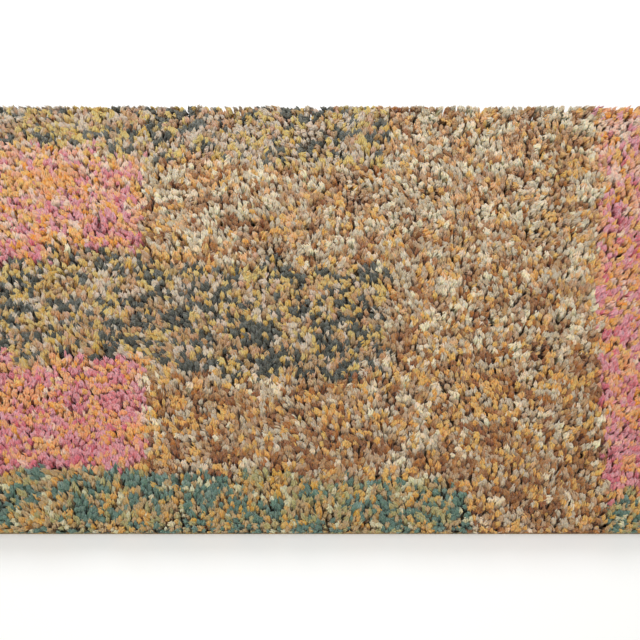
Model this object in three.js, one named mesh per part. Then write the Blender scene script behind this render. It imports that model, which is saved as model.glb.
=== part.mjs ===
// A cut length of hand-knotted, long-pile wool rug, lying flat with its pile up: one solid.
// Millimetres, +Z up. +X runs along the rows of knots, +Y along the warps, towards which the pile leans.
// The origin is at the middle of the underside, on the surface that the rug lies on.
import * as THREE from "three";

// Driving dimensions, in millimetres
const clothWidth = 584; // cut edge to cut edge, along the rows of knots
const clothDepth = 368; // cut edge to cut edge, along the warps
const groundThickness = 3; // warps, wefts and the backs of the knots
const pileHeight = 25; // from the ground weave to the tips

// The outside of the pile, by its share of the pile's height: it spreads past the cut edge,
// then rounds over to the tips.
const pileSide = [
  { share: 0, beyondEdge: 0 },
  { share: 0.3, beyondEdge: 2 },
  { share: 0.65, beyondEdge: 3.5 },
  { share: 0.88, beyondEdge: 3 },
  { share: 1, beyondEdge: -2.5 },
];

// The pile leans by this much for each millimetre that it rises.
const leanAcross = -0.086;
const leanAlong = 0.22;

// Long slow rises and dips of the pile, as waves: a wave's crests are one length apart along each axis.
const swells = [
  { lengthX: 410, lengthY: 900, phase: 0.6, height: 0.7 },
  { lengthX: -260, lengthY: 230, phase: 2.1, height: 0.5 },
  { lengthX: 150, lengthY: 340, phase: 4.0, height: 0.4 },
];

// Places where the pile is parted, trodden down or fluffed up: the middle, the reach along each axis,
// and the change of height.
const unevenPlaces = [
  { x: -151, y: -68, reachX: 20, reachY: 46, height: -2.2 }, // parted beside the lower left block
  { x: -176, y: -24, reachX: 58, reachY: 20, height: -1.5 }, // parted above the same block
  { x: 224, y: -28, reachX: 40, reachY: 22, height: -1.8 }, // hollow beside the right-hand block
  { x: 262, y: 20, reachX: 30, reachY: 90, height: 1 }, // combed-over pile of the right-hand block
  { x: -205, y: -146, reachX: 60, reachY: 22, height: -1.5 }, // laid-over strands at the lower left
  { x: 30, y: -118, reachX: 70, reachY: 26, height: 0.8 }, // fluffed-up pile at the lower middle
];

const stepsAcross = 36;
const stepsDeep = 24;

function pileUnevenness(x, y) {
  let height = 0;
  for (const swell of swells) {
    const turns = x / swell.lengthX + y / swell.lengthY;
    height += swell.height * Math.sin(2 * Math.PI * turns + swell.phase);
  }
  for (const place of unevenPlaces) {
    const across = (x - place.x) / place.reachX;
    const along = (y - place.y) / place.reachY;
    height += place.height * Math.exp(-(across * across + along * along));
  }
  return height;
}

// A box with one layer for the ground weave and one for each step up the pile's side, shaped point by point
function shapeRug() {
  const layers = pileSide.length;
  const geometry = new THREE.BoxGeometry(1, 1, layers, stepsAcross, stepsDeep, layers);
  const points = geometry.getAttribute("position");
  for (let i = 0; i < points.count; i += 1) {
    const level = Math.round(points.getZ(i) + layers / 2);
    const isUnderside = level === 0;
    const { share, beyondEdge } = pileSide[isUnderside ? 0 : level - 1];
    const x = points.getX(i) * (clothWidth + 2 * beyondEdge);
    const y = points.getY(i) * (clothDepth + 2 * beyondEdge);
    const pileRise = share * (pileHeight + pileUnevenness(x, y));
    const z = isUnderside ? 0 : groundThickness + pileRise;
    points.setXYZ(i, x + leanAcross * pileRise, y + leanAlong * pileRise, z);
  }
  geometry.computeBoundingBox();
  const middle = geometry.boundingBox.getCenter(new THREE.Vector3());
  geometry.translate(-middle.x, -middle.y, 0);
  geometry.deleteAttribute("uv");
  geometry.computeVertexNormals();
  return geometry;
}

const pileWool = new THREE.MeshStandardMaterial({ color: 0xa38666, roughness: 0.95, metalness: 0 });

const rug = new THREE.Mesh(shapeRug(), pileWool);
rug.name = "wool_rug";

const part = new THREE.Group();
part.add(rug);

export default part;
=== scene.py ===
# A cut length of hand-knotted, long-pile wool rug, lying flat with its pile up.
# It is worked out in millimetres and made in metres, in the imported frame: +X runs along the rows of knots,
# +Y along the warps, the way the pile leans, and +Z up out of the pile.
import math

import bpy
import numpy as np
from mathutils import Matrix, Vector
from mathutils.kdtree import KDTree


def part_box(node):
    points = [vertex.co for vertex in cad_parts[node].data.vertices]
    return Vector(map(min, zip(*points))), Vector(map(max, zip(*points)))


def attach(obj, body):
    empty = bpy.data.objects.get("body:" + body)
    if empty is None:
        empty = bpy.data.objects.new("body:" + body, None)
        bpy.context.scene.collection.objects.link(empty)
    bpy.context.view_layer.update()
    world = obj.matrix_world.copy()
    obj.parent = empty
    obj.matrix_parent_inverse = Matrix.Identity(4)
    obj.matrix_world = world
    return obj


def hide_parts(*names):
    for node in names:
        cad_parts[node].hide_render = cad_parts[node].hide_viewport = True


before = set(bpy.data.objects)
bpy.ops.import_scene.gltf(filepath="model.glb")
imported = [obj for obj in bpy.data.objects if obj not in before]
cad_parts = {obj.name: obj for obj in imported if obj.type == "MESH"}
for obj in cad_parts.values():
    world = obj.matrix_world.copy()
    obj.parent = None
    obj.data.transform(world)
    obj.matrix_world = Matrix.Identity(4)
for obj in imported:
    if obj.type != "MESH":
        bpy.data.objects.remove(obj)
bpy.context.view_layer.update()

MM = 0.001

# The piece, in millimetres
GROUND_THICKNESS = 3.0  # warps, wefts and the backs of the knots
PILE_HEIGHT = 25.0  # from the ground weave to the tips
PILE_SPREAD = 3.5  # how far the pile stands out past the cut edge
LEAN = np.array([-0.086, 0.22])  # sideways travel of a yarn for each millimetre that it rises
LEAN_IN_BOX = 0.65  # share of the tips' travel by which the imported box's middle lies off the ground weave's

# The knots: a bundle of three yarns looped round two warps gives six cut ends.
KNOT_PITCH = 7.35
ROW_PITCH = 13.3
ENDS_ACROSS = 2
ENDS_ALONG = 3
ROW_SLOPE = -0.031  # the rows run slightly downhill to the right
FEET_OF_CELL = np.array([0.45, 0.3])  # the feet of a knot's ends fill this share of the room its tips take
SHORTEST_RISE = PILE_HEIGHT - 4.0
LONGEST_RISE = PILE_HEIGHT + 1.5

# The pile yarn: a soft core that fills out between its neighbours, and locks of fibre twisted round it that
# bloom at the cut end. Each ring lies at a share of the yarn's length: "thick" is the radius of the core or
# of one lock, and "apart" is how far the lock lies from the middle of the yarn.
UPRIGHT_SHARE = 0.4  # it leaves the knot upright over this share of its rise
BENT_SHARE = 0.42  # and bends over to the way its tip points over this one
TURNS_TO_TIP = 0.6
CORE_SIDES = 4
CORE_RINGS = [
    {"share": 0.0, "thick": 1.1},
    {"share": 0.64, "thick": 3.05},
    {"share": 0.88, "thick": 2.2},
]
CORE_TIP = 0.975
LOCKS = 5
LOCK_SIDES = 3
LOCK_RINGS = [
    {"share": 0.64, "thick": 1.15, "apart": 2.45},
    {"share": 0.885, "thick": 0.98, "apart": 1.7},
]
LOCK_TIP_APART = 0.7
MARLED = 0.06  # share of the yarns that are spun from two colours

# The tips, in millimetres: packed yarn ends within this reach of each other push each other aside.
TIP_REACH = 6.7
TIP_PUSH = 1.25  # how far each of two ends at one place moves in a round
PUSHING_ROUNDS = 6
CLOSER_ABREAST = 1.22  # combed yarns lie closer abreast than one behind the other, by the square of this
SEEN_FROM_IN_FRONT = 0.17  # how much more the tips seem to point backwards from where the camera stands
TIP_STRAYING = 0.7

# The pile is combed over backwards, most at the front. These are millimetres sideways for each millimetre
# that the tips rise: the way they point, how far it strays from knot to knot and from yarn to yarn, and the
# slow swirls in it.
COMBED_OVER = np.array([-0.1, 0.6])
COMBED_MORE_IN_FRONT = 0.0013  # for each millimetre from the middle of the piece to its front
TIPS_BEND_OVER = 1.5  # how many times more than the rest of the yarn
KNOT_STRAYING = 0.12
YARN_STRAYING = 0.2
SWIRLS = [
    {"length": 110, "across": 0.1, "along": 0.08, "seeds": (21, 23)},
    {"length": 42, "across": 0.1, "along": 0.08, "seeds": (22, 24)},
]
EDGE_REACH = 40.0  # nearer than this to the sides and the back, the pile stands up
FRONT_REACH = 12.0  # and nearer than this to the front

# Where the front and the back of the piece were cut: millimetres inside the pile's box, how uneven the cut
# is, and the share of a yarn's overhang that is left
CUT_IN_FRONT = 3.0
CUT_BEHIND = 4.8
CUT_UNEVENNESS = 0.8
OVERHANG_LEFT = 0.06

MOST_TRIANGLES = 180000  # in one pile piece

# Choosing the yarns: an even draw between 0 and 1 is raised to a power, and the lower the power, the darker
# the yarns that it picks.
DRAW_POWER = 0.84
# Painted shade: the yarns are drawn lighter towards the back and darker towards the front, for the light
# falling off there.
PAINTED_LIGHT_BEHIND = 0.0019  # more of the power for each millimetre towards the back
SAME_BUNDLE = 0.75  # share of the ends whose neighbour knot was tied from the same bundle

# Each dyed yarn comes in this many depths of dye, from light to dark. They change from lighter lots at the
# back to deeper ones at the front over a length of so many millimetres, as painted shade for the light
# falling off there.
DYE_LOTS = 6
USUAL_LOT = 0.52
PAINTED_FALLOFF_LENGTH = 430.0
LOT_SPREAD = 0.3
EVENLY_DYED = 0.9  # share of the locks that are as deeply dyed as the rest of their yarn


def cloth_outline():
    """The ground weave's middle and half size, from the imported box, which holds the leaning pile too."""
    low, high = (np.array(corner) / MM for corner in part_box("wool_rug"))
    middle = (low[:2] + high[:2]) / 2 - LEAN_IN_BOX * PILE_HEIGHT * LEAN
    half = (high[:2] - low[:2]) / 2 - PILE_SPREAD
    return middle, half


def slow_noise(x, y, length, seed):
    """A smooth random field over the rug, of spread 1, whose swells are about that length."""
    rng = np.random.default_rng(seed)
    waves = 14
    total = np.zeros_like(x)
    for _ in range(waves):
        turn = rng.uniform(0, 2 * math.pi)
        stretch = rng.uniform(0.7, 1.5) * 2 * math.pi / length
        phase = rng.uniform(0, 2 * math.pi)
        total += np.sin(stretch * (x * math.cos(turn) + y * math.sin(turn)) + phase)
    return total * math.sqrt(2 / waves)


# The yarns of each colour mix, from light to dark: name, sRGB colour, share of the ends, and how many
# millimetres shorter than the rest they were clipped
BROWN_YARNS = [
    ("ivory", "#dbc5a9", 0.16, -0.5),
    ("greige", "#bbac96", 0.22, 0.0),
    ("gold", "#cda16c", 0.20, 0.0),
    ("camel", "#ac9170", 0.18, 0.4),
    ("rust", "#a07850", 0.14, 0.6),
    ("dark_brown", "#8b6343", 0.10, 1.0),
]
SLATE_YARNS = [
    ("beige", "#bead9a", 0.22, -0.3),
    ("mustard", "#c2a56b", 0.25, 0.0),
    ("rose_tan", "#b39071", 0.13, 0.0),
    ("stone", "#a38a64", 0.11, 0.4),
    ("slate", "#535650", 0.29, 0.8),
]
TEAL_YARNS = [
    ("khaki_cream", "#c1ba9a", 0.25, -0.3),
    ("orange", "#c39d5d", 0.22, 0.0),
    ("sage", "#a29a74", 0.15, 0.3),
    ("taupe", "#a99166", 0.19, 0.5),
    ("teal", "#657c72", 0.19, 0.6),
]
PINK_YARNS = [
    ("pale_pink", "#e1b39d", 0.12, -0.3),
    ("orange_gold", "#d99e61", 0.26, 0.0),
    ("salmon", "#d69c7a", 0.25, 0.0),
    ("rose", "#c88788", 0.26, 0.2),
    ("deep_rose", "#c17b7f", 0.11, 0.3),
]
MIXES = {"brown": BROWN_YARNS, "slate": SLATE_YARNS, "teal": TEAL_YARNS, "pink": PINK_YARNS}
# Painted bounced light, drawn into the colour: how many times brighter the depth of the pile is than one yarn
# alone, in red, green and blue
WARM_PAINTED_GLOW = (2.8, 2.5, 2.15)
PAINTED_GLOWS = {
    "brown": WARM_PAINTED_GLOW,
    "slate": WARM_PAINTED_GLOW,
    "teal": WARM_PAINTED_GLOW,
    "pink": (3.1, 2.65, 2.6),
}
BRIGHTEST_WOOL = (0.88, 0.88, 0.88)  # white wool gives back no more of the light than this

# Clumps of fibre to the millimetre, drawn coarser than the real 0.03 mm fibres so that they show, and swells
# of tone to the millimetre. Both are four times as long as they are wide.
CLUMPS_PER_MM = 1.5
SWELLS_PER_MM = 0.3
LONGER_THAN_WIDE = 4

# Shares of a yarn's length. Below the first, it only shows from the side, and the second is the deepest
# part that shows between the tips from above.
FEET_END = 0.42
LIT_DOWN_TO = 0.7

# The colour blocks as they show at the tips, in millimetres. Each is a four-sided patch: the left and right
# sides give x at its top and bottom, and the lower and upper edges give y at its left and right.
PAST_EDGE = 400.0
BLOCKS = [
    {"mix": "slate", "left": (-PAST_EDGE, -PAST_EDGE), "right": (62, 46),
     "lower": (148, 131), "upper": (PAST_EDGE, PAST_EDGE)},
    {"mix": "slate", "left": (-PAST_EDGE, -PAST_EDGE), "right": (61, 51),
     "lower": (-46, -55), "upper": (54, 42)},
    {"mix": "pink", "left": (-PAST_EDGE, -PAST_EDGE), "right": (-156, -159),
     "lower": (53, 51), "upper": (148, 140)},
    {"mix": "pink", "left": (-PAST_EDGE, -PAST_EDGE), "right": (-150, -146),
     "lower": (-126, -130), "upper": (-38, -41)},
    {"mix": "teal", "left": (-PAST_EDGE, -PAST_EDGE), "right": (116, 120),
     "lower": (-PAST_EDGE, -PAST_EDGE), "upper": (-127, -142)},
    {"mix": "pink", "left": (248, 231), "right": (PAST_EDGE, PAST_EDGE),
     "lower": (-156, -142), "upper": (PAST_EDGE, PAST_EDGE)},
    {"mix": "teal", "left": (232, 231), "right": (PAST_EDGE, PAST_EDGE),
     "lower": (-PAST_EDGE, -PAST_EDGE), "upper": (-156, -142)},
]
BLOCK_SPAN_X = (-290.0, 290.0)
BLOCK_SPAN_Y = (-188.0, 188.0)


def mix_of(x, y):
    """The name of the colour mix at each place, at the tips."""
    x = x + 1.5 * slow_noise(x, y, 45, 11)
    y = y + 1.2 * slow_noise(x, y, 60, 12)
    found = np.full(x.shape, "brown", dtype="<U8")
    for block in BLOCKS:
        right_edge = BLOCK_SPAN_X[1] if block["right"][0] == PAST_EDGE else block["right"][0]
        left_edge = BLOCK_SPAN_X[0] if block["left"][0] == -PAST_EDGE else block["left"][0]
        across = (x - left_edge) / (right_edge - left_edge)
        down = (BLOCK_SPAN_Y[1] - y) / (BLOCK_SPAN_Y[1] - BLOCK_SPAN_Y[0])
        left = block["left"][0] + down * (block["left"][1] - block["left"][0])
        right = block["right"][0] + down * (block["right"][1] - block["right"][0])
        lower = block["lower"][0] + across * (block["lower"][1] - block["lower"][0])
        upper = block["upper"][0] + across * (block["upper"][1] - block["upper"][0])
        inside = (x > left) & (x < right) & (y > lower) & (y < upper)
        found[inside] = block["mix"]
    return found


# Places where the pile is combed over or parted: middle, reach along each axis, and how far it bends there
COMBED_PLACES = [
    {"x": 268, "y": 20, "reach": (48, 260), "over": (0.45, 0.0)},
    {"x": -131, "y": -38, "reach": (28, 16), "over": (-0.5, -0.1)},
    {"x": -215, "y": -150, "reach": (26, 12), "over": (-0.6, -0.2)},
    {"x": -240, "y": -75, "reach": (28, 16), "over": (0.25, 0.1)},
    {"x": -60, "y": -105, "reach": (40, 20), "over": (-0.25, 0.0)},
]


def combed_back(y):
    """How far the tips point backwards there, on average, for each millimetre they rise."""
    return COMBED_OVER[1] - COMBED_MORE_IN_FRONT * y


def inside_share(place):
    """How fully the combing holds there, along each axis: 1 inside the piece, and 0 at its cut edges."""
    middle, half = cloth_outline()
    reach = np.full(place.shape, EDGE_REACH)
    reach[:, 1] = np.where(place[:, 1] < middle[1], FRONT_REACH, EDGE_REACH)
    return np.clip((half - np.abs(place - middle)) / reach, 0, 1) ** 0.7


def travel_of(foot, heading, rise):
    """How far to the side of its foot each yarn's tip lies."""
    inside = inside_share(foot)
    outward = np.sign(foot - cloth_outline()[0])
    return 0.5 * inside * heading * rise[:, None] + (1 - inside) * outward * PILE_SPREAD * 0.6


def heading_at(x, y):
    """Which way the tips point, from the combing, slow swirls and the combed places."""
    over_x = COMBED_OVER[0]
    over_y = combed_back(y)
    for swirl in SWIRLS:
        over_x = over_x + swirl["across"] * slow_noise(x, y, swirl["length"], swirl["seeds"][0])
        over_y = over_y + swirl["along"] * slow_noise(x, y, swirl["length"], swirl["seeds"][1])
    for place in COMBED_PLACES:
        reach = ((x - place["x"]) / place["reach"][0]) ** 2 + ((y - place["y"]) / place["reach"][1]) ** 2
        share = np.exp(-reach)
        over_x = over_x + place["over"][0] * share
        over_y = over_y + place["over"][1] * share
    return np.stack([over_x, over_y], axis=1)


def lay_knots(rng):
    """The middle of each knot on the ground weave, row by row, inside the cut edge."""
    middle, half = cloth_outline()
    rows = round(2 * half[1] / ROW_PITCH)
    columns = round(2 * half[0] / KNOT_PITCH)
    row_pitch = 2 * half[1] / rows
    knot_pitch = 2 * half[0] / columns
    row, column = np.meshgrid(np.arange(rows), np.arange(columns), indexing="ij")
    x = (column.ravel() + 0.5 + 0.25 * (row.ravel() % 2) - 0.125) * knot_pitch - half[0]
    # The rows are laid closer where the pile leans apart, so that the tips cover the piece evenly.
    feet = np.linspace(middle[1] - half[1] + 1, middle[1] + half[1] - 1, 400)
    along = np.column_stack([np.full(400, middle[0]), feet])
    combed = np.column_stack([np.zeros(400), combed_back(feet)])
    tips = feet + travel_of(along, combed, np.full(400, PILE_HEIGHT))[:, 1]
    row_of_tip = tips[0] + (np.arange(rows) + 0.3) / (rows - 0.4) * (tips[-1] - tips[0])
    y = np.interp(row_of_tip, tips, feet)[row.ravel()] - middle[1]
    slack = 1 - (y / half[1]) ** 6
    y = y + slack * (ROW_SLOPE * x + 1.5 * slow_noise(x, y, 120, 31))
    x = x + 1.0 * slow_noise(x, y, 70, 32)
    x = np.clip(x + rng.normal(0, 0.5, x.size), 2 - half[0], half[0] - 2)
    y = np.clip(y + rng.normal(0, 0.6, y.size), 2 - half[1], half[1] - 2)
    return np.stack([x + middle[0], y + middle[1]], axis=1), (knot_pitch, row_pitch)


def lay_ends(rng):
    """Every cut yarn end: where it leaves the ground weave, how it leans, and which yarn it is."""
    knots, (knot_pitch, row_pitch) = lay_knots(rng)
    count = len(knots)
    heading_of_knot = heading_at(knots[:, 0], knots[:, 1])
    tip_of_knot = knots + travel_of(knots, heading_of_knot, np.full(count, PILE_HEIGHT))
    mixes = mix_of(tip_of_knot[:, 0], tip_of_knot[:, 1])
    parts = []
    for across in range(ENDS_ACROSS):
        for along in range(ENDS_ALONG):
            side = (across + 0.5) / ENDS_ACROSS - 0.5
            ahead = (along + 0.5) / ENDS_ALONG - 0.5
            cell = np.array([side * knot_pitch, ahead * row_pitch])
            foot = knots + cell * FEET_OF_CELL + rng.normal(0, 0.25, (count, 2))
            fan = cell + rng.normal(0, 1.2, (count, 2))
            parts.append({"foot": foot, "fan": fan, "knot": np.arange(count)})
    foot = np.concatenate([part["foot"] for part in parts])
    fan = np.concatenate([part["fan"] for part in parts])
    knot = np.concatenate([part["knot"] for part in parts])
    height = PILE_HEIGHT + 0.8 * slow_noise(foot[:, 0], foot[:, 1], 70, 41) + rng.normal(0, 1.1, len(foot))
    height = np.clip(height, SHORTEST_RISE, LONGEST_RISE)
    return {
        "foot": foot,
        "fan": fan,
        "heading": heading_of_knot[knot],
        "height": height,
        "mix": mixes[knot],
        "knot": knot,
    }


def choose_yarns(rng, ends):
    """Picks each end's yarn from its block's mix, and a second one for it to be marled with."""
    count = len(ends["knot"])
    x, y = ends["foot"].T
    # Painted shade: darker yarns are drawn towards the front, for the light falling off there.
    power = DRAW_POWER + PAINTED_LIGHT_BEHIND * y + 0.07 * slow_noise(x, y, 90, 51)
    power = power.clip(0.4, 1.6)
    # Two knots side by side are often tied from the same bundle of strands.
    knots = ends["knot"].max() + 1
    strands = rng.random((knots, ENDS_ALONG))
    strand = np.repeat(np.arange(ENDS_ACROSS * ENDS_ALONG) % ENDS_ALONG, knots)
    luck = np.where(rng.random(count) < SAME_BUNDLE, strands[ends["knot"] // 2, strand], rng.random(count))
    luck += 0.12 * slow_noise(x, y, 18, 53)
    luck = np.argsort(np.argsort(luck)) / count
    main = draw_yarn(ends["mix"], luck**power)
    other = draw_yarn(ends["mix"], rng.random(count) ** power)
    return main, np.where(rng.random(count) < MARLED, other, main)


def choose_dye_lots(rng, ends):
    """How deeply each strand of each yarn is dyed. Lighter lots are drawn at the back and deeper ones at the
    front, as painted shade for the light falling off there.
    """
    x, y = ends["foot"].T
    usual = USUAL_LOT - y / PAINTED_FALLOFF_LENGTH + 0.08 * slow_noise(x, y, 70, 52)
    luck = rng.normal(usual, LOT_SPREAD, (LOCKS + 1, len(x)))
    lot = (luck.clip(0, 0.999) * DYE_LOTS).astype(int)
    lot[:LOCKS] = np.where(rng.random((LOCKS, len(x))) < EVENLY_DYED, lot[LOCKS], lot[:LOCKS])
    return lot


def draw_yarn(mix_of_end, luck):
    """The number of the yarn in its mix, from an even draw between 0 and 1."""
    yarn = np.zeros(len(luck), dtype=int)
    for mix, yarns in MIXES.items():
        limits = np.cumsum([share for _, _, share, _ in yarns])
        chosen = np.searchsorted(limits / limits[-1], luck)
        here = mix_of_end == mix
        yarn[here] = np.clip(chosen, 0, len(yarns) - 1)[here]
    return yarn


def clip_short(ends, yarn):
    """Clips the darker yarns a little shorter than the rest."""
    for mix, yarns in MIXES.items():
        here = ends["mix"] == mix
        ends["height"][here] -= np.array([short for _, _, _, short in yarns])[yarn[here]]


def pack_tips(rng, tips, heading):
    """Crowded tips push each other aside, as packed yarn does, and stop at the edge of the pile."""
    low, high = (np.array(corner[:2]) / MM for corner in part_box("wool_rug"))
    low = low + 1.0
    high = high - 1.0
    along = heading + np.array([0.0, SEEN_FROM_IN_FRONT])
    along /= np.linalg.norm(along, axis=1)[:, None]
    for _ in range(PUSHING_ROUNDS):
        tree = KDTree(len(tips))
        for number, (x, y) in enumerate(tips):
            tree.insert((x, y, 0), number)
        tree.balance()
        near = [
            (number, other)
            for number, (x, y) in enumerate(tips)
            for _, other, _ in tree.find_range((x, y, 0), TIP_REACH * CLOSER_ABREAST)
            if other != number
        ]
        one, other = np.array(near).T
        apart = tips[one] - tips[other]
        behind = (apart * along[one]).sum(1)[:, None] * along[one]
        apart = (apart - behind) * CLOSER_ABREAST + behind / CLOSER_ABREAST
        gap = np.linalg.norm(apart, axis=1).clip(1e-6)[:, None]
        push = np.zeros_like(tips)
        np.add.at(push, one, apart / gap * (1 - gap / TIP_REACH).clip(0) ** 2)
        tips = np.clip(tips + TIP_PUSH * push, low, high)
    return np.clip(tips + rng.normal(0, TIP_STRAYING, tips.shape), low - 1, high + 2)


def yarn_centrelines(rng, ends):
    """Points along each yarn, from its foot in the ground weave to its tip, as a Bezier curve."""
    count = len(ends["foot"])
    rise = ends["height"]
    knots = ends["knot"].max() + 1
    inside = inside_share(ends["foot"])
    outward = np.sign(ends["foot"] - cloth_outline()[0])
    heading = inside * ends["heading"] + (1 - inside) * outward * 0.1
    heading += rng.normal(0, KNOT_STRAYING, (knots, 2))[ends["knot"]]
    heading += rng.normal(0, YARN_STRAYING, (count, 2))
    travel = travel_of(ends["foot"], ends["heading"], rise)
    foot = np.column_stack([ends["foot"], np.full(count, GROUND_THICKNESS - 0.8)])
    tip_side = pack_tips(rng, ends["foot"] + travel + ends["fan"], ends["heading"])
    steep = np.linalg.norm(tip_side - ends["foot"], axis=1) / rise
    rise = rise / np.sqrt(1 + 0.5 * np.clip(steep - 0.35, 0, 2) ** 2)
    tip = np.column_stack([tip_side, GROUND_THICKNESS + rise])
    ending = np.column_stack([TIPS_BEND_OVER * heading, np.ones(count)])
    ending /= np.linalg.norm(ending, axis=1)[:, None]
    leaving = np.column_stack([ends["fan"] * 0.25 + rng.normal(0, 0.6, (count, 2)), UPRIGHT_SHARE * rise])
    first = foot + leaving
    second = tip - ending * (BENT_SHARE * rise)[:, None]
    return foot, first, second, tip


def bezier(points, share):
    """A point and a direction at that share of each curve."""
    a, b, c, d = points
    share = share[:, None]
    left = 1 - share
    place = left**3 * a + 3 * left**2 * share * b + 3 * left * share**2 * c + share**3 * d
    ahead = 3 * left**2 * (b - a) + 6 * left * share * (c - b) + 3 * share**2 * (d - c)
    return place, ahead / np.linalg.norm(ahead, axis=1)[:, None]


def sweep_yarns(rng, ends):
    """Points of each yarn's core and of its locks of fibre: rings along the twist, then the tip."""
    curve = yarn_centrelines(rng, ends)
    count = len(ends["foot"])
    yarn = {
        "curve": curve,
        "across": np.cross(curve[3] - curve[0], rng.normal(0, 1, (count, 3))),
        "spin": rng.uniform(0, 2 * math.pi, count),
        "girth": rng.normal(1, 0.2, count).clip(0.6, 1.5),
    }
    core = sweep_strand(rng, yarn, CORE_RINGS, CORE_SIDES, np.full(count, CORE_TIP), 0, 0)
    locks = []
    for lock in range(LOCKS):
        length = rng.normal(0.985, 0.045, count).clip(0.86, 1.05)
        locks.append(sweep_strand(rng, yarn, LOCK_RINGS, LOCK_SIDES, length, lock / LOCKS, LOCK_TIP_APART))
    return core, locks


def sweep_strand(rng, yarn, rings, sides, length, turn_share, tip_apart):
    """Points of one strand of each yarn, which starts that share of a turn round the yarn."""
    count = len(length)
    looseness = yarn["girth"] * rng.normal(1, 0.16, count).clip(0.5, 1.5)
    points = []
    for ring in rings:
        place, one, other = yarn_section(yarn["curve"], ring["share"] * length, yarn["across"])
        turn = yarn["spin"] + 2 * math.pi * (turn_share + TURNS_TO_TIP * ring["share"])
        turn = turn + rng.normal(0, 0.2, count)
        middle = place + around(one, other, turn, looseness * ring.get("apart", 0))
        for side in range(sides):
            thick = yarn["girth"] * ring["thick"] * rng.normal(1, 0.12, count)
            points.append(middle + around(one, other, turn + 2 * math.pi * side / sides, thick))
    place, one, other = yarn_section(yarn["curve"], length, yarn["across"])
    turn = yarn["spin"] + 2 * math.pi * (turn_share + TURNS_TO_TIP) + rng.normal(0, 0.3, count)
    points.append(place + around(one, other, turn, looseness * tip_apart))
    return trim_flush(rng, np.stack(points, axis=1))


def trim_flush(rng, points):
    """Trims the yarns along the front and back of the piece, where it was cut to length."""
    low, high = (corner[1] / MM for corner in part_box("wool_rug"))
    unevenness = rng.uniform(0, CUT_UNEVENNESS, len(points))[:, None]
    across = points[:, :, 1]
    trimmed = np.clip(across, low + CUT_IN_FRONT + unevenness, high - CUT_BEHIND - unevenness)
    points[:, :, 1] = trimmed + OVERHANG_LEFT * (across - trimmed)
    return points


def around(one, other, angle, distance):
    """The way from a yarn's middle line out to that angle and distance."""
    return distance[:, None] * (np.cos(angle)[:, None] * one + np.sin(angle)[:, None] * other)


def yarn_section(curve, share, across):
    """A point on each yarn's middle line, and two directions square to the line there."""
    place, ahead = bezier(curve, share)
    one = across - (across * ahead).sum(1)[:, None] * ahead
    one /= np.linalg.norm(one, axis=1)[:, None]
    return place, one, np.cross(ahead, one)


def tube_faces(rings, sides):
    """Corners of one tube's faces, and where each one lies round the tube and along it, from 0 to 1."""
    shares = [ring["share"] for ring in rings]
    faces = []
    for ring in range(len(shares) - 1):
        for side in range(sides):
            after = (side + 1) % sides
            low, high = ring * sides, (ring + 1) * sides
            corners = [low + side, low + after, high + after, high + side]
            places = [(side, ring), (side + 1, ring), (side + 1, ring + 1), (side, ring + 1)]
            faces.append((corners, [(u / sides, shares[v]) for u, v in places]))
    last = (len(shares) - 1) * sides
    for side in range(sides):
        corners = [last + side, last + (side + 1) % sides, last + sides]
        places = [(side, shares[-1]), (side + 1, shares[-1]), (side + 0.5, 1.0)]
        faces.append((corners, [(u / sides, v) for u, v in places]))
    turns = [2 * math.pi * side / sides for side in range(sides)]
    foot = [(0.5 + 0.3 * math.cos(turn), shares[0] + 0.015 + 0.01 * math.sin(turn)) for turn in turns]
    faces.append((list(range(sides))[::-1], foot))
    return faces


def mesh_from(name, points, face_sizes, corners, corner_places):
    """A mesh piece from its points in millimetres, its faces' corners, and the map for its surface."""
    mesh = bpy.data.meshes.new(name)
    mesh.vertices.add(len(points))
    mesh.vertices.foreach_set("co", (points * MM).astype(np.float32).ravel())
    mesh.loops.add(len(corners))
    mesh.loops.foreach_set("vertex_index", corners.astype(np.int32))
    mesh.polygons.add(len(face_sizes))
    starts = np.concatenate([[0], np.cumsum(face_sizes)[:-1]])
    mesh.polygons.foreach_set("loop_start", starts.astype(np.int32))
    mesh.polygons.foreach_set("loop_total", face_sizes.astype(np.int32))
    mesh.polygons.foreach_set("use_smooth", np.ones(len(face_sizes), dtype=bool))
    places = mesh.uv_layers.new(name="OFBake")
    places.data.foreach_set("uv", corner_places.astype(np.float32).ravel())
    mesh.update(calc_edges=True)
    mesh.validate()
    piece = bpy.data.objects.new(name, mesh)
    bpy.context.scene.collection.objects.link(piece)
    return piece


def tube_parts(faces, points, strip, strips):
    """Corners, face sizes and surface places of many tubes, each mapped to the strip of its own shade."""
    count = len(points)
    corner_one = np.array([corner for corners, _ in faces for corner in corners])
    place_one = np.array([place for _, places in faces for place in places])
    sizes = np.tile([len(corners) for corners, _ in faces], count)
    corners = (corner_one[None, :] + points.shape[1] * np.arange(count)[:, None]).ravel()
    margin = 0.04
    round_yarn = margin + (1 - 2 * margin) * place_one[:, 0]
    u = (strip[:, None] + round_yarn[None, :]) / strips
    v = np.broadcast_to(place_one[:, 1], u.shape)
    return corners, sizes, np.stack([u, v], axis=2).reshape(-1, 2)


def make_pile(name, tubes, strips):
    """One pile piece, from groups of tubes given as faces, points and strips."""
    points, sizes, corners, places = [], [], [], []
    start = 0
    for faces, tube_points, strip in tubes:
        tube_corners, tube_sizes, tube_places = tube_parts(faces, tube_points, strip, strips)
        points.append(tube_points.reshape(-1, 3))
        corners.append(tube_corners + start)
        sizes.append(tube_sizes)
        places.append(tube_places)
        start += len(points[-1])
    return mesh_from(name, *(np.concatenate(part) for part in (points, sizes, corners, places)))


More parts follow.
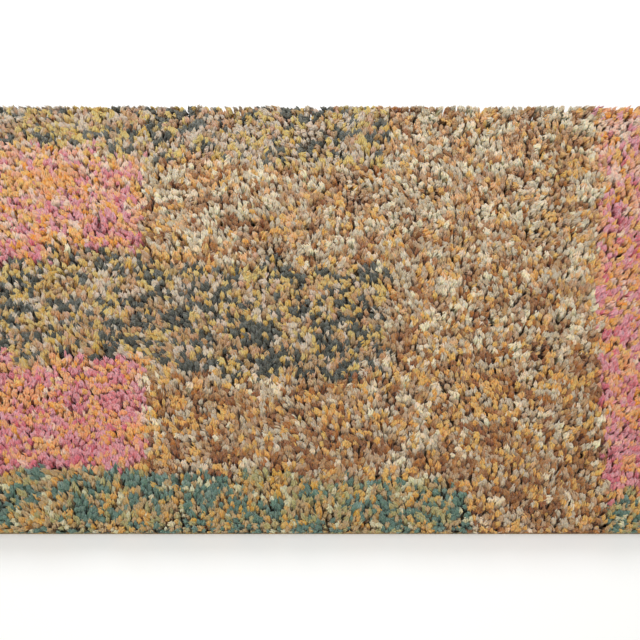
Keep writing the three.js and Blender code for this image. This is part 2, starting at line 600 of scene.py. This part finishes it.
def linear(hex_colour):
    """An sRGB hex colour as linear red, green, blue and full opacity."""
    channels = [int(hex_colour[k:k + 2], 16) / 255 for k in (1, 3, 5)]
    return [c / 12.92 if c <= 0.04045 else ((c + 0.055) / 1.055) ** 2.4 for c in channels] + [1.0]


def new_material(name):
    """An empty material, with its shader and its node tree."""
    material = bpy.data.materials.new(name)
    material.use_nodes = True
    tree = material.node_tree
    return material, tree, tree.nodes["Principled BSDF"]


def add(tree, kind, settings=None, inputs=None):
    """Adds a node with its settings, and each input as a value or a link. Returns its outputs."""
    made = tree.nodes.new(kind)
    for key, value in (settings or {}).items():
        setattr(made, key, value)
    for key, value in (inputs or {}).items():
        if isinstance(value, bpy.types.NodeSocket):
            tree.links.new(value, made.inputs[key])
        else:
            made.inputs[key].default_value = value
    return made.outputs


def pile_wool(name, yarns, painted_glow_deep_down):
    """Hand-spun, hand-dyed wool, cut: matt and heathered along its fibres, with painted shade and painted
    light that make its colour purer towards the root.
    """
    material, tree, shader = new_material(name)
    strips = len(yarns) * DYE_LOTS
    place = add(tree, "ShaderNodeUVMap", {"uv_map": "OFBake"})
    axes = add(tree, "ShaderNodeSeparateXYZ", None, {0: place["UV"]})
    strip_place = add(tree, "ShaderNodeMath", {"operation": "MULTIPLY"}, {0: axes["X"], 1: strips})
    strip = add(tree, "ShaderNodeMath", {"operation": "FLOOR"}, {0: strip_place[0]})
    part = add(tree, "ShaderNodeMath", {"operation": "FRACT"}, {0: strip_place[0]})
    twisted = add(tree, "ShaderNodeMath", {"operation": "MULTIPLY_ADD"}, {0: axes["Y"], 1: 1.5, 2: part[0]})
    angle = add(tree, "ShaderNodeMath", {"operation": "MULTIPLY"}, {0: twisted[0], 1: 2 * math.pi})
    cosine = add(tree, "ShaderNodeMath", {"operation": "COSINE"}, {0: angle[0]})
    sine = add(tree, "ShaderNodeMath", {"operation": "SINE"}, {0: angle[0]})

    dyed = tree.nodes.new("ShaderNodeValToRGB")
    dyed.color_ramp.interpolation = "CONSTANT"
    stops = dyed.color_ramp.elements
    stops.remove(stops[1])
    for number, (_, colour, _, _) in enumerate(yarns):
        stop = stops.new(number / len(yarns)) if number else stops[0]
        stop.color = linear(colour)
    tree.links.new(axes["X"], dyed.inputs[0])

    luck = add(tree, "ShaderNodeTexWhiteNoise", {"noise_dimensions": "1D"}, {"W": strip[0]})
    draws = add(tree, "ShaderNodeSeparateXYZ", None, {0: luck["Color"]})
    hue = add(tree, "ShaderNodeMapRange", None, {0: draws["X"], 3: 0.488, 4: 0.512})
    strength = add(tree, "ShaderNodeMapRange", None, {0: draws["Y"], 3: 0.9, 4: 1.1})
    lot = add(tree, "ShaderNodeMath", {"operation": "MODULO"}, {0: strip[0], 1: DYE_LOTS})

    # Clumps of fibre wound round the strand, with finer streaks in them
    side_place = add(tree, "ShaderNodeVectorMath", {"operation": "SCALE"}, {
        0: add(tree, "ShaderNodeCombineXYZ", None, {0: cosine[0], 1: sine[0]})[0],
        "Scale": LOCK_RINGS[1]["thick"],
    })
    lengthwise = add(tree, "ShaderNodeMath", {"operation": "MULTIPLY"}, {
        0: axes["Y"], 1: PILE_HEIGHT / LONGER_THAN_WIDE,
    })
    up_yarn = add(tree, "ShaderNodeCombineXYZ", None, {2: lengthwise[0]})
    fibre_place = add(tree, "ShaderNodeVectorMath", {"operation": "ADD"}, {0: side_place[0], 1: up_yarn[0]})
    fibres = add(tree, "ShaderNodeTexNoise", {"noise_dimensions": "4D"}, {
        "Vector": fibre_place[0], "W": strip[0], "Scale": CLUMPS_PER_MM, "Detail": 3.0, "Roughness": 0.7,
    })
    # The heather of hand carding: the tone drifts along a yarn over about a centimetre.
    heather = add(tree, "ShaderNodeTexNoise", {"noise_dimensions": "4D"}, {
        "Vector": fibre_place[0], "W": strip[0], "Scale": SWELLS_PER_MM, "Detail": 1.0,
    })
    # A gamma above one makes the wool darker and purer in colour: in the deeper dye lots, as painted shade in
    # the hollows between the clumps, and as painted shade down the yarn into the depth of the pile. The tips
    # are paler and greyer, partly from wear and partly as painted light. The feet are only seen from the
    # side, where light falls on them as it does on the tips.
    covered = add(tree, "ShaderNodeMapRange", None, {0: axes["Y"], 1: FEET_END, 2: LIT_DOWN_TO})
    below_tip = add(tree, "ShaderNodeMapRange", None, {0: axes["Y"], 1: 1.0, 2: LIT_DOWN_TO, 4: covered[0]})
    dye_and_shade = add(tree, "ShaderNodeMapRange", None, {0: below_tip[0], 3: 0.85, 4: 1.5})[0]
    for found, least, most, light, deep in (
        (lot[0], 0, DYE_LOTS - 1, 0.9, 1.1),
        # painted shade: the hollows between the raised clumps of fibre are drawn darker and purer
        (fibres[0], 0.64, 0.36, 0.82, 1.24),
        (heather[0], 0.7, 0.3, 0.9, 1.12),
    ):
        gamma_factor = add(tree, "ShaderNodeMapRange", None, {0: found, 1: least, 2: most, 3: light, 4: deep})
        dye_and_shade = add(tree, "ShaderNodeMath", {"operation": "MULTIPLY"}, {0: dye_and_shade, 1: gamma_factor[0]})[0]
    colour = add(tree, "ShaderNodeHueSaturation", None, {
        "Hue": hue[0], "Saturation": strength[0], "Color": dyed.outputs[0],
    })
    deeper = add(tree, "ShaderNodeGamma", None, {"Color": colour[0], "Gamma": dye_and_shade})
    # Painted light: the colour down in the pile is drawn brighter and warmer, standing in for the light that
    # wool hands on from fibre to fibre, a little warmer each time, so the depth of the pile glows.
    depth = add(tree, "ShaderNodeMapRange", None, {0: axes["Y"], 1: 1.0, 2: 0.5, 4: covered[0]})
    glow = add(tree, "ShaderNodeMix", {"data_type": "RGBA"}, {
        0: depth[0], 6: (1.0, 1.0, 1.0, 1.0), 7: (*painted_glow_deep_down, 1.0),
    })
    glowing = add(tree, "ShaderNodeVectorMath", {"operation": "MULTIPLY"}, {0: deeper[0], 1: glow[2]})
    fleece = add(tree, "ShaderNodeVectorMath", {"operation": "MINIMUM"}, {0: glowing[0], 1: BRIGHTEST_WOOL})
    tree.links.new(fleece[0], shader.inputs["Base Color"])

    bump = add(tree, "ShaderNodeBump", None, {"Strength": 0.35, "Distance": 0.5 * MM, "Height": fibres[0]})
    tree.links.new(bump[0], shader.inputs["Normal"])
    shader.inputs["Roughness"].default_value = 0.95
    shader.inputs["Diffuse Roughness"].default_value = 0.5
    shader.inputs["Subsurface Weight"].default_value = 0.65
    shader.inputs["Subsurface Radius"].default_value = (1.0, 0.75, 0.55)
    shader.inputs["Subsurface Scale"].default_value = 2.0 * MM
    shader.inputs["Sheen Weight"].default_value = 0.2
    shader.inputs["Sheen Roughness"].default_value = 0.5
    shader.inputs["Specular IOR Level"].default_value = 0.1
    return material


# The ground weave, in millimetres: how far its cut edge lies inside the pile, how high the ribs under it
# are, and how much its rim is pinched at the bottom and at the top
GROUND_INSET = 1.2
RIB_HEIGHT = 0.6
RIM_PINCH = 0.5
GROUND_GRID = (192, 62)  # faces across and along
GRAINS_ACROSS = 260.0  # grains of its yarn from side to side, drawn 2.2 mm long so that they show


def make_ground():
    """The ground weave: a thin sheet with the backs of the knots as ribs under it."""
    middle, half = cloth_outline()
    half = half - GROUND_INSET
    across, deep = GROUND_GRID
    x = np.linspace(-1, 1, across + 1)
    y = np.linspace(-1, 1, deep + 1)
    grid_x, grid_y = (g.ravel() for g in np.meshgrid(x, y, indexing="xy"))
    side_x = grid_x * half[0] + middle[0]
    side_y = grid_y * half[1] + middle[1]
    rib = np.abs(np.sin(math.pi * side_y / ROW_PITCH)) * np.abs(np.sin(2 * math.pi * side_x / KNOT_PITCH))
    edge = np.maximum(np.abs(grid_x), np.abs(grid_y)) > 0.999
    under = np.column_stack([side_x, side_y, np.where(edge, RIM_PINCH, RIB_HEIGHT * (1 - rib))])
    top = np.column_stack([side_x, side_y, np.full(side_x.shape, GROUND_THICKNESS - RIM_PINCH)])
    wide = across + 1
    start = (np.arange(deep)[:, None] * wide + np.arange(across)[None, :]).ravel()
    under_faces = np.column_stack([start, start + wide, start + 1 + wide, start + 1])
    rim = np.concatenate([
        np.arange(across),
        np.arange(deep) * wide + across,
        deep * wide + np.arange(across, 0, -1),
        np.arange(deep, 0, -1) * wide,
    ])
    points = np.concatenate([under, top[rim]])
    upper = len(under) + np.arange(len(rim))
    walls = np.column_stack([rim, np.roll(rim, -1), np.roll(upper, -1), upper])
    quads = np.concatenate([under_faces, walls])
    corners = np.concatenate([quads.ravel(), upper])
    sizes = np.concatenate([np.full(len(quads), 4), [len(upper)]])
    flat = np.column_stack([grid_x, grid_y]) / 2
    places = np.concatenate([0.5 + 0.97 * flat, 0.5 + flat[rim]])
    return mesh_from("ground_weave", points, sizes, corners, places[corners])


def ground_wool():
    """Undyed wool warps and wefts, hand-spun and plainly woven: matt and slightly hairy."""
    material, tree, shader = new_material("undyed_woven_wool")
    place = add(tree, "ShaderNodeUVMap", {"uv_map": "OFBake"})
    grain = add(tree, "ShaderNodeTexNoise", None, {
        "Vector": place["UV"], "Scale": GRAINS_ACROSS, "Detail": 3.0,
    })
    shade = add(tree, "ShaderNodeMix", {"data_type": "RGBA"}, {
        0: grain[0], 6: linear("#8a6e4c"), 7: linear("#b79e78"),
    })
    tree.links.new(shade[2], shader.inputs["Base Color"])
    shader.inputs["Roughness"].default_value = 0.95
    return material


def make_floor():
    """A plain pale floor."""
    bpy.ops.mesh.primitive_plane_add(size=12.0)
    floor = bpy.context.object
    floor.name = "floor"
    material, tree, shader = new_material("pale_floor")
    shader.inputs["Base Color"].default_value = linear("#fbfbfa")
    shader.inputs["Roughness"].default_value = 0.9
    floor.data.materials.append(material)


LAMP_WHITE = "#f3f6ff"
ROOM_WHITE = "#fff9e1"
ROOM_STRENGTH = 0.38


def add_light(name, place, size, power):
    """A square soft light, aimed at the middle of the piece. Places and sizes are in metres."""
    data = bpy.data.lights.new(name, "AREA")
    data.shape = "SQUARE"
    data.size = size
    data.energy = power
    data.color = linear(LAMP_WHITE)[:3]
    light = bpy.data.objects.new(name, data)
    light.location = place
    light.rotation_euler = (-Vector(place)).to_track_quat("-Z", "Y").to_euler()
    bpy.context.scene.collection.objects.link(light)


def light_studio():
    """Soft light from above and behind, in a pale room."""
    add_light("key", place=(-0.25, 0.65, 0.95), size=0.7, power=6.0)
    add_light("overhead", place=(0.1, -0.15, 2.0), size=0.8, power=23.5)
    world = bpy.data.worlds.new("studio")
    world.use_nodes = True
    world.node_tree.nodes["Background"].inputs["Color"].default_value = linear(ROOM_WHITE)
    world.node_tree.nodes["Background"].inputs["Strength"].default_value = ROOM_STRENGTH
    bpy.context.scene.world = world
    bpy.context.scene.view_settings.view_transform = "Standard"


# The camera looks almost straight down, from a little in front of the middle of the piece.
CAMERA_TILT = math.radians(10)
CAMERA_DISTANCE = 756.0
AIM = np.array([0.0, -8.4, 25.0])


def place_camera():
    """The photo's view."""
    data = bpy.data.cameras.new("camera")
    data.lens = 50
    data.sensor_width = 36
    camera = bpy.data.objects.new("camera", data)
    back = np.array([0, -math.sin(CAMERA_TILT), math.cos(CAMERA_TILT)])
    camera.location = (AIM + CAMERA_DISTANCE * back) * MM
    camera.rotation_euler = (CAMERA_TILT, 0, 0)
    bpy.context.scene.collection.objects.link(camera)
    bpy.context.scene.camera = camera


def make_rug():
    """The pile in pieces of one colour mix each, and the ground weave that holds them."""
    rng = np.random.default_rng(8)
    ends = lay_ends(rng)
    yarn, other_yarn = choose_yarns(rng, ends)
    clip_short(ends, yarn)
    core, locks = sweep_yarns(rng, ends)
    core_faces = tube_faces(CORE_RINGS, CORE_SIDES)
    lock_faces = tube_faces(LOCK_RINGS, LOCK_SIDES)
    lot = choose_dye_lots(rng, ends)
    per_end = triangles(core_faces) + LOCKS * triangles(lock_faces)
    for mix, yarns in MIXES.items():
        material = pile_wool(f"{mix}_mix_wool", yarns, PAINTED_GLOWS[mix])
        strips = len(yarns) * DYE_LOTS
        members = np.flatnonzero(ends["mix"] == mix)
        members = members[np.argsort(ends["foot"][members, 0], kind="stable")]
        pieces = math.ceil(len(members) * per_end / MOST_TRIANGLES)
        for number, chosen in enumerate(np.array_split(members, pieces), start=1):
            strip = yarn[chosen] * DYE_LOTS + lot[LOCKS][chosen]
            tubes = [(core_faces, core[chosen], strip)]
            for lock in range(LOCKS):
                dyed = (other_yarn if lock % 2 else yarn)[chosen]
                strip = dyed * DYE_LOTS + lot[lock][chosen]
                tubes.append((lock_faces, locks[lock][chosen], strip))
            pile = make_pile(f"{mix}_pile_{number}", tubes, strips)
            pile.data.materials.append(material)
            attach(pile, "root")
    ground = make_ground()
    ground.data.materials.append(ground_wool())
    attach(ground, "root")
    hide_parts("wool_rug")
    middle, half = cloth_outline()


def triangles(faces):
    """How many triangles those faces make."""
    return sum(len(corners) - 2 for corners, _ in faces)


make_rug()
make_floor()
light_studio()
place_camera()
